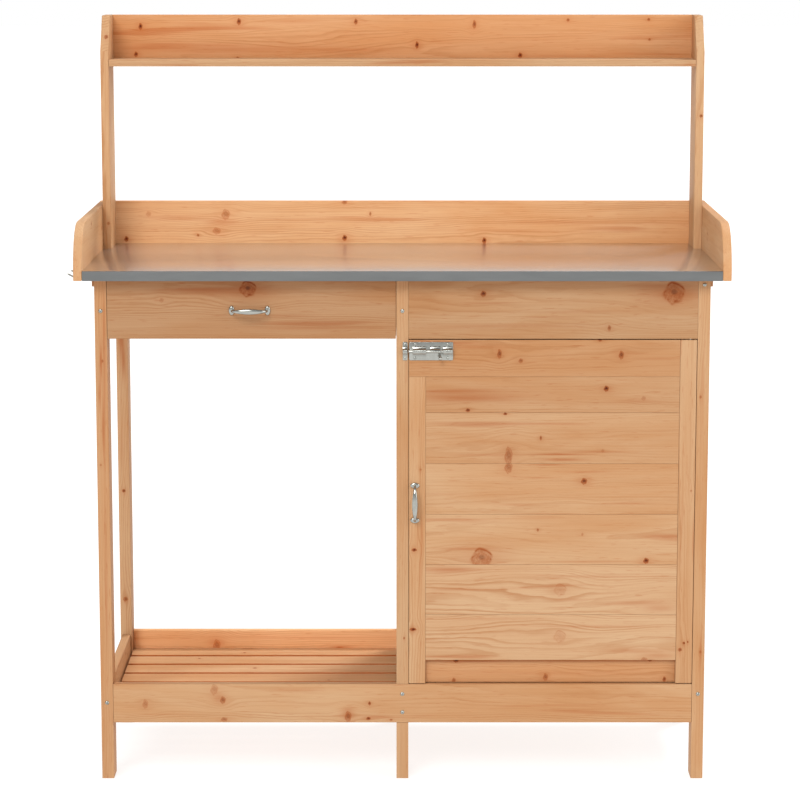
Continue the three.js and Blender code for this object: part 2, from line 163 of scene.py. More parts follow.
class Graph:
    """Short calls for the nodes of one tree. A socket or a plain number may be given anywhere."""

    def __init__(self, tree):
        self.tree = tree

    def node(self, kind, inputs=(), **settings):
        made = self.tree.nodes.new(kind)
        for key, value in settings.items():
            setattr(made, key, value)
        for key, value in dict(inputs).items():
            self.put(made.inputs[key], value)
        return made

    def put(self, socket, value):
        if isinstance(value, bpy.types.NodeSocket):
            self.tree.links.new(value, socket)
        elif value is not None:
            socket.default_value = value

    def math(self, operation, a, b=None, c=None, clamp=False):
        made = self.node("ShaderNodeMath", operation=operation, use_clamp=clamp)
        for socket, value in zip(made.inputs, (a, b, c)):
            self.put(socket, value)
        return made.outputs[0]

    def xyz(self, vector):
        return self.node("ShaderNodeSeparateXYZ", {"Vector": vector}).outputs

    def vector(self, x, y, z):
        return self.node("ShaderNodeCombineXYZ", {"X": x, "Y": y, "Z": z}).outputs[0]

    def scaled(self, vector, factors):
        made = self.node("ShaderNodeVectorMath", operation="MULTIPLY")
        self.put(made.inputs[0], vector)
        self.put(made.inputs[1], factors)
        return made.outputs[0]

    def shifted(self, vector, offset):
        made = self.node("ShaderNodeVectorMath", operation="ADD")
        self.put(made.inputs[0], vector)
        self.put(made.inputs[1], offset)
        return made.outputs[0]

    def noise(self, vector, scale=1.0, detail=2.0, roughness=0.5, distortion=0.0):
        inputs = {"Vector": vector, "Scale": scale, "Detail": detail, "Roughness": roughness}
        inputs["Distortion"] = distortion
        return self.node("ShaderNodeTexNoise", inputs).outputs["Fac"]

    def ramp(self, value, low, low_colour, high, high_colour):
        """One colour up to low, the other from high, eased between."""
        made = self.node("ShaderNodeValToRGB", {"Fac": value})
        made.color_ramp.interpolation = "EASE"
        for point, place, colour in zip(made.color_ramp.elements, (low, high), (low_colour, high_colour)):
            point.position = place
            point.color = colour
        return made.outputs["Color"]

    def grey(self, value, low, high):
        """0 below low, 1 above high, smooth between."""
        made = self.node("ShaderNodeMapRange", {"Value": value, "From Min": low, "From Max": high})
        made.interpolation_type = "SMOOTHSTEP"
        return made.outputs["Result"]

    def mix(self, factor, a, b, blend="MIX"):
        made = self.node("ShaderNodeMix", data_type="RGBA", blend_type=blend)
        self.put(made.inputs["Factor"], factor)
        self.put(made.inputs[6], a)
        self.put(made.inputs[7], b)
        return made.outputs[2]

    def bump(self, height, strength, distance):
        inputs = {"Height": height, "Strength": strength, "Distance": distance}
        return self.node("ShaderNodeBump", inputs).outputs["Normal"]


def new_material(name):
    material = bpy.data.materials.new(name)
    material.use_nodes = True
    graph = Graph(material.node_tree)
    return material, graph, material.node_tree.nodes["Principled BSDF"]


# ---------------------------------------------------------------- fir
PALE = linear("#e6bc8f")
HONEY = linear("#d9a06c")
LATE = linear("#bd7a42")
RUST = linear("#bd6226")
KNOT_EDGE = linear("#9c4a1a")
KNOT_CORE = linear("#5e2206")
DEEP = linear("#d88a4c")
BLOND = linear("#ecc9a0")
STAIN = (0.675, 0.66, 0.662)  # the honey stain over the bare colours
LARGE_KNOT = 8  # radius in millimetres above which a knot has a broken dark edge


def knot_group():
    """One knot, with sizes in metres. Bend is how far the grain bends round it, Halo the rusty wood about it,
    Dark the mottled knot itself, and Core its heart."""
    tree = bpy.data.node_groups.new("knot", "ShaderNodeTree")
    face = tree.interface
    for name in ("Along", "Across", "Radius", "Large"):
        face.new_socket(name, in_out="INPUT", socket_type="NodeSocketFloat")
    for name in ("Bend", "Halo", "Dark", "Core"):
        face.new_socket(name, in_out="OUTPUT", socket_type="NodeSocketFloat")
    g = Graph(tree)
    given = g.node("NodeGroupInput").outputs
    out = g.node("NodeGroupOutput")
    along = g.math("DIVIDE", given["Along"], given["Radius"])
    across = g.math("DIVIDE", given["Across"], given["Radius"])
    place = g.vector(along, across, given["Radius"])
    rough = g.math("MULTIPLY_ADD", given["Large"], -0.35, 0.6)
    wobble = g.math("SUBTRACT", g.noise(place, 1.1, 3, rough), 0.5)

    def reach(stretch_x, stretch_y):
        a = g.math("MULTIPLY", along, 1 / stretch_x)
        b = g.math("MULTIPLY", across, 1 / stretch_y)
        return g.math("ADD", g.math("MULTIPLY", a, a), g.math("MULTIPLY", b, b))

    bend = g.math("EXPONENT", g.math("MULTIPLY", reach(4.5, 2.4), -1))
    g.put(out.inputs["Bend"], g.math("MULTIPLY", bend, 0.9))
    uneven = g.math("MULTIPLY_ADD", given["Large"], -0.75, 1.4)
    near = g.math("ADD", g.math("SQRT", reach(1.0, 1.0)), g.math("MULTIPLY", wobble, uneven))
    g.put(out.inputs["Halo"], g.math("EXPONENT", g.math("MULTIPLY", reach(2.8, 1.5), -1)))
    disc = g.math("SUBTRACT", 1, g.grey(near, 0.85, 1.15))
    mottled = g.grey(g.noise(place, 2.6, 3, 0.7), 0.3, 0.62)
    small = g.math("MULTIPLY_ADD", mottled, 0.65, 0.35)
    broken = g.grey(g.noise(g.vector(along, across, 3.0), 1.6, 1), 0.35, 0.6)
    edge = g.math("MULTIPLY", g.grey(near, 0.62, 0.88), broken)
    large = g.math("MAXIMUM", edge, g.math("MULTIPLY_ADD", mottled, 0.4, 0.25))
    shown = g.math("MULTIPLY_ADD", given["Large"], g.math("SUBTRACT", large, small), small)
    g.put(out.inputs["Dark"], g.math("MULTIPLY", disc, shown))
    size = g.math("MULTIPLY_ADD", given["Large"], -0.42, 0.78)
    heart = g.math("DIVIDE", near, size)
    weight = g.math("MULTIPLY_ADD", given["Large"], -0.3, 1.0)
    g.put(out.inputs["Core"], g.math("MULTIPLY", g.math("SUBTRACT", 1, g.grey(heart, 0.25, 1.0)), weight))
    return tree


KNOT = knot_group()


def bend_round_knots(g, x, y, knots):
    """Bends the grain round each knot. Gives the bent y, and where the halo, the knot and its heart show."""
    halo, dark, core = 0.0, 0.0, 0.0
    for kx, ky, radius, depth, *tall in knots:
        stretch = tall[0] if tall else 1.0
        off = g.math("SUBTRACT", y, ky * MM)
        knot = g.node("ShaderNodeGroup", node_tree=KNOT)
        g.put(knot.inputs["Along"], g.math("SUBTRACT", x, kx * MM))
        g.put(knot.inputs["Across"], g.math("MULTIPLY", off, 1 / stretch))
        g.put(knot.inputs["Radius"], radius * MM)
        g.put(knot.inputs["Large"], 1.0 if radius > LARGE_KNOT else 0.0)
        y = g.math("SUBTRACT", y, g.math("MULTIPLY", off, knot.outputs["Bend"]))
        halo = g.math("MAXIMUM", halo, g.math("MULTIPLY", knot.outputs["Halo"], depth))
        dark = g.math("MAXIMUM", dark, g.math("MULTIPLY", knot.outputs["Dark"], depth))
        core = g.math("MAXIMUM", core, g.math("MULTIPLY", knot.outputs["Core"], depth * depth))
    return y, halo, dark, core


def growth_rings(g, rnd, seed, x, y, z, drift):
    """Growth rings round a pith that wanders beside the board: where the dark late wood shows."""
    slow = g.noise(g.scaled(drift, (1.5, 7, 7)), 1, 2, 0.5)
    sway = g.math("MULTIPLY", g.math("SUBTRACT", slow, 0.5), 0.045)
    quick = g.noise(g.scaled(drift, (6, 30, 30)), 1, 3, 0.55)
    ripple = g.math("MULTIPLY", g.math("SUBTRACT", quick, 0.5), 0.009)
    pith_y = rnd.choice([-1, 1]) * rnd.uniform(0.01, 0.05)
    pith_z = rnd.choice([-1, 1]) * rnd.uniform(0.03, 0.06)
    slope = rnd.uniform(-0.02, 0.02)
    ry = g.math("ADD", g.math("ADD", g.math("MULTIPLY_ADD", x, slope, y), pith_y), sway)
    rz = g.math("ADD", g.math("MULTIPLY_ADD", x, rnd.uniform(-0.015, 0.015), z), pith_z)
    radius = g.math("SQRT", g.math("ADD", g.math("MULTIPLY", ry, ry), g.math("MULTIPLY", rz, rz)))
    rings_per_metre = rnd.uniform(270, 350)
    count = g.math("MULTIPLY", g.math("ADD", radius, ripple), rings_per_metre)
    ring = g.math("FRACT", count)
    late = g.math("MULTIPLY", g.grey(ring, 0.35, 0.88), g.math("SUBTRACT", 1, g.grey(ring, 0.88, 1.0)))
    faded = g.vector(g.math("MULTIPLY", x, 2.2), g.math("MULTIPLY", count, 0.37), seed * 1.7)
    return g.math("MULTIPLY", late, g.grey(g.noise(faded, 1, 1), 0.3, 0.75))


def wood_colour(g, x, y, z, drift, late, tint, figure):
    """Blotchy pale and honey wood with rings, fine lines, fibres, resin flecks and rusty streaks.
    Gives the colour, the fibres and the streaks."""
    lines = g.noise(g.scaled(g.vector(x, y, z), (1.6, 260, 260)), 1, 2, 0.6, 0.3)
    fibre = g.noise(g.scaled(drift, (9, 620, 620)), 1, 3, 0.6)
    fleck = g.noise(g.scaled(g.shifted(drift, (2, 1, 4)), (38, 420, 420)), 1, 1, 0.5)
    blotch = g.noise(g.scaled(drift, (2.2, 13, 13)), 1, 3, 0.6, 0.4)
    streak = g.noise(g.scaled(g.shifted(drift, (3, 5, 7)), (3.5, 60, 60)), 1, 1, 0.4)
    base = g.mix(g.grey(blotch, 0.25, 0.75), PALE, HONEY)
    base = g.mix(abs(tint) * 0.7, base, DEEP if tint > 0 else BLOND)
    colour = g.mix(g.math("MULTIPLY", late, 0.5 * figure), base, LATE)
    colour = g.mix(g.math("MULTIPLY", g.grey(lines, 0.5, 0.8), 0.26), colour, LATE)
    colour = g.mix(g.math("MULTIPLY", g.grey(fibre, 0.45, 0.8), 0.2), colour, LATE)
    colour = g.mix(g.math("MULTIPLY", g.grey(fibre, 0.55, 0.2), 0.12), colour, PALE)
    colour = g.mix(g.math("MULTIPLY", g.grey(fleck, 0.62, 0.78), 0.3), colour, RUST)
    colour = g.mix(g.math("MULTIPLY", g.grey(streak, 0.64, 0.80), 0.5), colour, RUST)
    return colour, fibre, streak


def add_flames_and_painted_shadow(g, colour, x, y, streak, flames_and_painted_shadow):
    """Ragged rusty streaks along the grain, and painted shadow lines drawn the same way."""
    for fx, fy, length, width, strength in flames_and_painted_shadow:
        along = g.math("MULTIPLY_ADD", x, 1000 / length, -fx / length)
        ragged = g.math("MULTIPLY_ADD", g.math("SUBTRACT", streak, 0.5), 3.0, -fy / width)
        across = g.math("MULTIPLY_ADD", y, 1000 / width, ragged)
        far = g.math("ADD", g.math("MULTIPLY", along, along), g.math("MULTIPLY", across, across))
        glow = g.math("EXPONENT", g.math("MULTIPLY", far, -1))
        colour = g.mix(g.math("MULTIPLY", glow, strength * 0.6), colour, RUST)
    return colour


def add_knots(g, colour, halo, dark, core):
    colour = g.mix(g.math("MULTIPLY", halo, 0.35), colour, RUST)
    colour = g.mix(g.math("MULTIPLY", dark, 1.1, clamp=True), colour, RUST)
    colour = g.mix(g.math("POWER", dark, 2.0), colour, KNOT_EDGE)
    return g.mix(g.math("MULTIPLY", core, 0.95, clamp=True), colour, KNOT_CORE)


def fir(name, seed, knots, tint, figure, shade, flames_and_painted_shadow, gap_shade_rim):
    """Honey-stained fir. Local x runs along the grain, y across the face, z through the board.
    tint runs from blond (-1) to deep orange (1), figure is how strongly the growth rings show, and shade how
    light the board is painted: partly its own tone, partly painted light and shade. Each flame is (x mm, y
    mm, half length mm, half width mm, strength); most are rusty streaks, a few are painted shadow lines. The
    last argument is half the width of a slat whose long edges are painted darker as shade in the gaps, or
    None."""
    rnd = random.Random(seed)
    material, g, shader = new_material(name)
    place = g.node("ShaderNodeTexCoord").outputs["Object"]
    x, y, z = g.xyz(place)
    drift = g.shifted(place, [rnd.uniform(-9, 9) for _ in range(3)])
    bent, halo, dark, core = bend_round_knots(g, x, y, knots)
    late = growth_rings(g, rnd, seed, x, bent, z, drift)
    colour, fibre, streak = wood_colour(g, x, bent, z, drift, late, tint, figure)
    colour = add_flames_and_painted_shadow(g, colour, x, y, streak, flames_and_painted_shadow)
    colour = add_knots(g, colour, halo, dark, core)
    # Painted shade: a slat's long edges are darkened, standing in for the shade in the gaps between the
    # slats.
    if gap_shade_rim:
        edge = g.grey(g.math("ABSOLUTE", y), gap_shade_rim - 1.6 * MM, gap_shade_rim - 0.4 * MM)
        colour = g.mix(g.math("MULTIPLY", edge, 0.85), colour, RUST)
    # The stain times shade: partly the board's own tone, partly painted light and shade.
    colour = g.mix(1.0, colour, [part * shade for part in STAIN] + [1], "MULTIPLY")
    g.put(shader.inputs["Base Color"], colour)
    gloss = g.math("MULTIPLY_ADD", late, -0.08, g.math("MULTIPLY_ADD", fibre, 0.16, 0.52))
    g.put(shader.inputs["Roughness"], gloss)
    shader.inputs["Specular IOR Level"].default_value = 0.18
    height = g.math("ADD", g.math("MULTIPLY", late, 0.5), g.math("MULTIPLY", fibre, 0.8))
    height = g.math("SUBTRACT", height, g.math("MULTIPLY", core, 0.2))
    g.put(shader.inputs["Normal"], g.bump(height, 0.35, 0.0006))
    return material


# ---------------------------------------------------------------- metals
def bright_steel():
    """Nickel-plated steel, with a slight unevenness in its polish."""
    material, g, shader = new_material("bright_steel")
    place = g.node("ShaderNodeTexCoord").outputs["Object"]
    smear = g.noise(g.scaled(place, (90, 90, 90)), 1, 2, 0.5)
    g.put(shader.inputs["Base Color"], g.ramp(smear, 0.2, linear("#a0a19b"), 0.8, linear("#adaea8")))
    shader.inputs["Metallic"].default_value = 1.0
    g.put(shader.inputs["Roughness"], g.math("MULTIPLY_ADD", smear, 0.06, 0.18))
    return material


def zinc_sheet():
    """Galvanised sheet: a soft mirror with faint clouding and fine rolling scratches."""
    material, g, shader = new_material("zinc_sheet")
    place = g.node("ShaderNodeTexCoord").outputs["Object"]
    cloud = g.noise(g.scaled(place, (3, 5, 5)), 1, 2, 0.5)
    scratch = g.noise(g.scaled(place, (14, 1400, 1400)), 1, 2, 0.6)
    g.put(shader.inputs["Base Color"], g.ramp(cloud, 0.25, linear("#e9e9e8"), 0.75, linear("#f0f0ef")))
    shader.inputs["Metallic"].default_value = 1.0
    gloss = g.math("MULTIPLY_ADD", scratch, 0.03, g.math("MULTIPLY_ADD", cloud, 0.03, 0.20))
    g.put(shader.inputs["Roughness"], gloss)
    g.put(shader.inputs["Normal"], g.bump(scratch, 0.02, 0.0001))
    return material


def zinc_shaded_edge():
    """The sheet's folded front edge: duller than its face, and painted darker as shade."""
    material, g, shader = new_material("zinc_shaded_edge")
    place = g.node("ShaderNodeTexCoord").outputs["Object"]
    cloud = g.noise(g.scaled(place, (11, 60, 60)), 1, 3, 0.6)
    scratch = g.noise(g.scaled(place, (20, 1500, 1500)), 1, 2, 0.6)
    # Painted shade: the fold's grey is far darker than the sheet's own zinc.
    tone = g.ramp(cloud, 0.25, linear("#686a6a"), 0.75, linear("#707272"))
    g.put(shader.inputs["Base Color"], g.mix(g.math("MULTIPLY", scratch, 0.1), tone, linear("#a0a09e")))
    shader.inputs["Metallic"].default_value = 0.6
    g.put(shader.inputs["Roughness"], g.math("MULTIPLY_ADD", scratch, 0.12, 0.42))
    g.put(shader.inputs["Normal"], g.bump(scratch, 0.05, 0.0002))
    return material


STEEL = bright_steel()
ZINC = zinc_sheet()
SHADED_ZINC_EDGE = zinc_shaded_edge()


# ---------------------------------------------------------------- piece helpers
def link_piece(name, mesh, body, replaces=(), matrix=None):
    piece = bpy.data.objects.new(name, mesh)
    bpy.context.scene.collection.objects.link(piece)
    if matrix is not None:
        piece.matrix_world = matrix
    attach(piece, body)
    if replaces:
        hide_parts(*replaces)


def grain_frame(node):
    """A turn whose local x runs along the board, y across its face and z through it, at its middle."""
    lo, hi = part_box(node)
    size = hi - lo
    order = sorted(range(3), key=lambda axis: -size[axis])
    if node.startswith(("leg_", "upright_")):
        order = [2, 0, 1]  # the narrow front edge is the face that shows
    turn = Matrix.Identity(3)
    for column, axis in enumerate(order):
        for row in range(3):
            turn[row][column] = 1.0 if row == axis else 0.0
    if turn.determinant() < 0:
        for row in range(3):
            turn[row][2] *= -1
    local_size = [size[axis] for axis in order]
    return Matrix.Translation((lo + hi) / 2) @ turn.to_4x4(), local_size


# Angles between two faces, in radians: above SHARP their edge is rounded, below FLAT they are one plane.
SHARP = 0.6
FLAT = 0.03


def bevel_all(bm, width, segments):
    """Rounds every sharp edge. Flat faces keep flat shading; only rounded edges and curves are smoothed."""
    sharp = []
    for face in bm.faces:
        face.smooth = False
    for edge in bm.edges:
        turn = edge.calc_face_angle(0) if len(edge.link_faces) == 2 else 0
        if turn > SHARP:
            sharp.append(edge)
        elif turn > FLAT:
            for face in edge.link_faces:
                face.smooth = True
    shape = {"offset": width, "segments": segments, "profile": 0.6}
    made = bmesh.ops.bevel(bm, geom=sharp, affect="EDGES", clamp_overlap=True, **shape)
    for face in made["faces"]:
        face.smooth = True


def mesh_from(bm, name, material, degrees):
    """A mesh whose smoothed faces are creased where they meet at more than so many degrees."""
    bmesh.ops.recalc_face_normals(bm, faces=bm.faces)
    mesh = bpy.data.meshes.new(name)
    bm.to_mesh(mesh)
    bm.free()
    mesh.materials.append(material)
    mesh.set_sharp_from_angle(angle=math.radians(degrees))
    return mesh


def board_mesh(name, size, material, rounding):
    bm = bmesh.new()
    bmesh.ops.create_cube(bm, size=1.0)
    bmesh.ops.scale(bm, vec=size, verts=bm.verts)
    bevel_all(bm, rounding, 3)
    return mesh_from(bm, name, material, 50)


def cad_mesh(node, inverse):
    """The node's own mesh in a local frame, with coplanar faces merged."""
    bm = bmesh.new()
    bm.from_mesh(NODES[node].data)
    bmesh.ops.transform(bm, matrix=inverse, verts=bm.verts)
    bmesh.ops.remove_doubles(bm, verts=bm.verts, dist=1e-5)
    bmesh.ops.dissolve_limit(bm, angle_limit=math.radians(1), verts=bm.verts, edges=bm.edges)
    return bm


# ---------------------------------------------------------------- boards
# Knots that show, from a board's middle, as (mm along the grain, mm across it, radius mm, darkness, height
# over width if that isn't 1). One of no darkness only bends the grain.
KNOTS = {
    "drawer_front": [(-6, 37, 15, 1.0, 0.9), (-155, 17, 4, 0.3)],
    "cabinet_fascia": [(208, 29, 19, 0.85), (-121, 27, 5, 0.9), (97, -31, 3, 0.6, 1.8)],
    "door_rail_top": [
        (-78, 8, 4, 0.7, 2.0), (-41, -4, 4, 0.6), (133, 6, 4.5, 0.75, 1.6), (96, 33, 3.5, 0.9),
        (-212, 26, 3, 0.5),
    ],
    "door_plank_1": [
        (93, 11, 4.5, 1.0, 1.1), (-147, -27, 4, 0.9, 0.8), (-82, -33, 3.5, 0.9, 0.6), (158, -6, 4, 0.3),
    ],
    "door_plank_2": [
        (-82, 43, 3.5, 0.9, 0.6), (-76, -31, 7, 0.5, 2.2), (-20, 0, 2, 0.7, 2), (88, -22, 3, 0.3),
    ],
    "door_plank_3": [(56, 14, 5.5, 0.85), (-76, 39, 7, 0.5, 1.5)],
    "door_plank_4": [
        (-122, -33, 19, 0.75, 0.95), (166, -38, 5, 0.95), (-24, 14, 2, 0.6, 1.6), (54, 9, 2, 0.35, 1.6),
    ],
    "door_plank_5": [(16, 0, 11, 0.3), (-70, 2, 17, 0.0, 0.8), (205, -30, 15, 0.0)],
    "door_plank_6": [
        (16, 2, 11, 0.3), (-70, 4, 17, 0.0, 0.8), (165, -40, 6, 0.4, 0.7), (205, -30, 15, 0.0),
    ],
    "door_rail_foot": [
        (-166, 8, 5, 1.0, 0.7), (-8, -22, 4.5, 0.6, 1.5), (176, 9, 4, 0.95, 0.7), (202, -26, 3, 0.8, 1.6),
        (-170, -28, 3.5, 0.6, 1.3),
    ],
    "rail_front_lower": [
        (-454, -1, 5, 0.4, 1.6), (-317, 6, 5, 0.6, 1.3), (-315, -29, 6, 0.5, 0.7), (-332, 23, 7, 0.35, 1.5),
        (-96, -24, 6, 0.6, 1.6), (-58, -1, 2.5, 0.8, 1.5), (-60, -27, 4, 0.9, 0.6), (-20, -30, 3, 0.6, 0.6),
    ],
    "door_stile_left": [(-176, -7, 3, 1.0, 1.9), (-33, -5, 3, 0.95, 1.5), (110, 6, 2, 0.4)],
    "door_stile_right": [(-245, -7, 3.5, 0.7), (-233, -2, 2.4, 0.9), (-231, 5, 2, 0.9), (40, 8, 2, 0.4)],
    "tray_back": [
        (-516, -23, 4, 1.0, 1.3), (-330, 23, 8, 0.45, 1.2), (-347, -4, 8, 0.45), (-108, -21, 4.5, 1.0, 1.2),
        (-108, 46, 5, 0.6, 0.8), (153, -26, 4, 1.0, 1.4), (-382, -13, 2.5, 0.7), (-60, 24, 2, 0.6, 2),
        (-474, 24, 5, 0.3),
    ],
    "high_shelf_back": [
        (-484, 24, 3.6, 1.0, 1.7), (-493, -27, 3.6, 0.95, 1.3), (-302, 33, 4, 0.9, 1.5),
        (-305, -35, 3.5, 0.9), (-86, 33, 3.5, 0.8, 1.5), (27, -10, 3.3, 1.0, 1.9), (133, 28, 3.5, 0.7, 2.2),
        (218, -29, 4, 1.0, 1.2), (306, 36, 3, 0.7), (457, 0, 2.5, 0.6), (455, 37, 3, 0.7),
        (-170, 6, 24, 0.0, 0.6),
    ],
    "rail_back_lower": [(-353, 6, 7, 0.5, 1.6), (-120, 0, 7, 0.45, 0.5)],
    "shelf_slat_4": [(-12, 4, 4, 0.7, 1.0)],
    "leg_front_left": [(303, 2, 3, 0.5, 0.7), (120, -4, 2, 0.4)],
    "leg_front_right": [(-215, 3, 3, 0.5, 0.7), (240, -4, 3, 0.5, 0.7)],
    "leg_front_middle": [(-190, 3, 2.5, 0.6, 0.7), (-310, -3, 2.5, 0.5, 0.7)],
}
# Rusty streaks, and a few painted shadow lines, as (mm along the grain, mm across it, half length mm, half
# width mm, strength).
FLAMES_AND_PAINTED_SHADOW = {
    "door_plank_1": [(-150, -2, 85, 9, 1.0), (-190, 6, 60, 3, 0.6), (150, -10, 40, 4, 0.4)],
    "door_plank_2": [
        (10, -29, 42, 2.5, 1.1), (18, -38, 36, 2, 1.0), (70, -24, 60, 2, 0.6), (-120, -30, 50, 2, 0.5),
    ],
    "door_plank_3": [(-60, -28, 30, 2, 0.5), (60, 30, 40, 2, 0.6), (-8, 43, 30, 2, 0.8)],
    "door_plank_4": [(-150, -16, 45, 2.5, 0.7), (60, -40, 80, 2, 0.5)],
    "door_plank_5": [
        (-172, 38, 46, 4, 0.9), (150, -24, 60, 5, 0.6), (190, -34, 30, 5, 0.6), (60, 24, 120, 2, 0.4),
    ],
    "door_plank_6": [
        (150, -24, 60, 4, 0.5), (190, -34, 30, 5, 0.6), (60, 20, 120, 2, 0.4), (-120, 34, 80, 2, 0.4),
    ],
    # On the foot rail the streaks 8 to 10 mm across run along under the planks' lower edge: painted shadow.
    "door_rail_foot": [
        (-150, 8, 80, 3, 1.2), (-40, 10, 240, 2.5, 1.1), (100, 9, 120, 3, 0.9), (0, -14, 160, 3, 0.3),
    ],
    "door_rail_top": [(-180, 27, 60, 4, 0.9), (-120, 20, 50, 3, 0.5), (200, 0, 40, 3, 0.4)],
    "drawer_front": [
        (-60, 34, 90, 8, 0.9), (-100, 36, 50, 5, 0.6), (110, -30, 110, 4, 0.6), (50, -10, 60, 3, 0.4),
    ],
    "cabinet_fascia": [(208, 30, 45, 14, 0.7), (-100, -30, 160, 4, 0.4), (60, -4, 90, 3, 0.3)],
    "leg_front_left": [(303, 0, 34, 3, 1.1), (245, -3, 24, 2.5, 0.8), (180, 2, 30, 2, 0.6)],
    "leg_back_left": [(300, 0, 40, 4, 1.2), (250, 3, 30, 3, 0.9), (90, -3, 40, 3, 0.4)],
    "leg_front_right": [(-215, 2, 30, 2, 0.7), (260, 0, 60, 2, 0.4)],
    "tray_back": [
        (-340, 8, 26, 8, 0.6), (-420, 16, 60, 5, 0.5), (320, 8, 160, 3, 0.5), (200, -8, 120, 3, 0.4),
    ],
    "high_shelf_back": [
        (-330, -16, 120, 8, 0.7), (-120, -20, 90, 6, 0.5), (-200, 34, 60, 3, 0.4), (300, -30, 90, 3, 0.4),
    ],
    "high_shelf": [(200, 0, 60, 3, 0.5), (-360, 2, 40, 3, 0.5), (-180, -2, 60, 2, 0.4)],
    "rail_back_lower": [(-353, 10, 16, 9, 0.6), (-120, -1, 26, 4, 0.9), (-200, 22, 200, 3, 0.4)],
    "rail_front_lower": [(-325, 12, 12, 10, 0.5), (-96, -20, 10, 9, 0.7), (-40, -24, 26, 3, 0.7)],
}
# How deep an orange a board is, from blond (-1) to deep (1).
TINT = {
    "high_shelf_back": 0.6, "rail_back_lower": -0.1, "door_rail_foot": 0.5, "door_rail_top": 0.25,
    "tray_back": 0.15, "door_plank_1": 0.2, "door_plank_2": 0.1, "door_plank_3": -0.1, "door_plank_5": -0.6,
    "door_plank_6": -0.6, "door_stile_right": -0.3, "high_shelf": -0.2, "drawer_front": 0.35,
    "leg_front_left": 0.25,
}
# How much lighter or darker a board is: partly its own tone, partly painted light and shade.
# Values above 1 are mostly painted light: boards that the lamps reach less than they should are lightened.
TONE_AND_PAINTED_LIGHT = {
    "high_shelf_back": 1.27, "tray_back": 1.33, "drawer_front": 0.79, "cabinet_fascia": 0.86,
    "leg_front_left": 0.97, "leg_front_middle": 0.96, "door_rail_top": 0.94, "door_plank_1": 0.92,
    "door_plank_2": 0.96, "door_plank_3": 1.0, "door_rail_foot": 1.04, "rail_back_lower": 1.7,
    "upright_left": 1.08, "upright_right": 1.08, "tray_side_left": 1.12, "tray_side_right": 1.2,
}
# The slats are painted lighter, as painted light in the bay under the worktop.
TONE_AND_PAINTED_LIGHT.update({f"shelf_slat_{number}": 1.2 for number in range(1, 7)})
# How strongly a board's growth rings show, where that isn't 1.
FIGURE = {
    "door_plank_2": 0.6, "door_plank_3": 0.55, "door_plank_4": 0.65, "door_plank_5": 1.2,
    "door_plank_6": 1.2, "leg_front_left": 0.6, "leg_front_middle": 0.6, "leg_front_right": 0.6,
    "tray_side_left": 0.6, "tray_side_right": 0.6, "cabinet_fascia": 0.7, "tray_back": 1.1,
}
# Boards that are notched, bored or curved: their outline comes from the CAD.
SHAPED = {
    "leg_front_middle", "leg_back_middle", "tray_side_left", "tray_side_right", "upright_left",
    "upright_right", "door_stile_right",
}
METAL = {
    "worktop_sheet", "door_pivot_rod", "bolt_keeper", "bolt_guide", "bolt_rod", "drawer_handle",
    "door_handle", "tool_hooks",
}


def rounding_of(node):
    """How far a board's edges are rounded: close-fitted boards hardly at all."""
    if node.startswith("door_plank"):
        return 0.4 * MM
    if node.startswith(("door_", "cabinet_", "drawer_front")):
        return 0.15 * MM
    return 0.25 * MM if node.startswith("leg_") else 1.3 * MM


def random_knots(node, size):
    """A few knots for a board whose own don't show."""
    rnd = random.Random(node)
    number = rnd.randint(1, 2) + int(size[0] / 0.5)
    far_along, far_across = size[0] * 450, size[1] * 380
    knots = []
    for _ in range(number):
        place = (rnd.uniform(-far_along, far_along), rnd.uniform(-far_across, far_across))
        knots.append((*place, rnd.uniform(2.5, 5), rnd.uniform(0.4, 0.9)))
    return knots


def make_boards():
    for index, node in enumerate(sorted(set(NODES) - METAL)):
        matrix, size = grain_frame(node)
        knots = KNOTS.get(node) or random_knots(node, size)
        # Slats get painted shade along their long edges.
        gap_shade_rim = size[1] / 2 if node.startswith("shelf_slat") else None
        looks = (TINT.get(node, 0.0), FIGURE.get(node, 1.0), TONE_AND_PAINTED_LIGHT.get(node, 1.0), FLAMES_AND_PAINTED_SHADOW.get(node, ()), gap_shade_rim)
        material = fir("fir_" + node, index * 7 + 3, knots, *looks)
        rounding = rounding_of(node)
        if node in SHAPED:
            bm = cad_mesh(node, matrix.inverted())
            bevel_all(bm, min(rounding, 0.5 * MM), 2)
            mesh = mesh_from(bm, node + "_board", material, 40)
        else:
            mesh = board_mesh(node + "_board", size, material, min(rounding, min(size) * 0.3))
        link_piece(node + "_board", mesh, BODY_OF[node], [node], matrix)


# ---------------------------------------------------------------- metal pieces
def ring_loft(bm, rings):
    """Skins a list of closed rings of points, with both ends capped."""
    rows = [[bm.verts.new(p) for p in ring] for ring in rings]
    for a, b in zip(rows, rows[1:]):
        for i in range(len(a)):
            j = (i + 1) % len(a)
            bm.faces.new((a[i], a[j], b[j], b[i])).smooth = True
    bm.faces.new(rows[0][::-1]).smooth = True
    bm.faces.new(rows[-1]).smooth = True


def lathe(bm, foot, axis, profile, sides=28, oval=1.0, wide=None):
    """Turns a profile of (radius, height) pairs round an axis from foot. oval stretches it along wide."""
    axis = Vector(axis).normalized()
    u = Vector(wide) if wide else axis.orthogonal().normalized()
    v = axis.cross(u)
    rings = []
    for radius, height in profile:
        ring = []
        for i in range(sides):
            angle = 2 * math.pi * i / sides
            around = u * (math.cos(angle) * oval) + v * math.sin(angle)
            ring.append(Vector(foot) + axis * height + around * max(radius, 1e-5))
        rings.append(ring)
    ring_loft(bm, rings)


